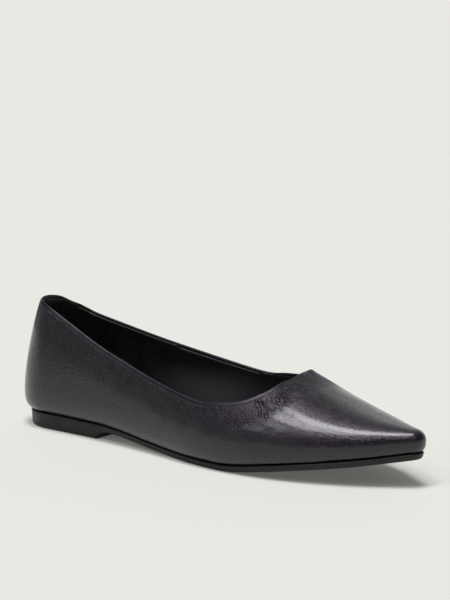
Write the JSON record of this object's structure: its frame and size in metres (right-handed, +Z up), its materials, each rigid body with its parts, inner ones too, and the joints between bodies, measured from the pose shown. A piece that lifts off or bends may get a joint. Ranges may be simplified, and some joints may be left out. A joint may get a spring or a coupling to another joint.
{
  "type": "ballet flat",
  "caption": "Black smooth leather ballet flat with a pointed toe, low-cut throat and a low moulded heel, right shoe.",
  "frame": {"origin": "middle of the heel's flat underside, on the floor", "axes": "+X from heel to toe, +Y to the inner side of the foot, +Z up"},
  "size_m": [0.262, 0.082, 0.073],
  "materials": {
    "upper_leather": "semi-gloss",
    "sole_rubber": "matte",
    "sock_lining": "satin",
    "stud_metal": "polished"
  },
  "bodies": {
    "root": {"upper": "upper_leather", "outsole": "sole_rubber", "insole": "sock_lining", "heel_stud_upper": "stud_metal", "heel_stud_lower": "stud_metal"}
  },
  "joints": []
}
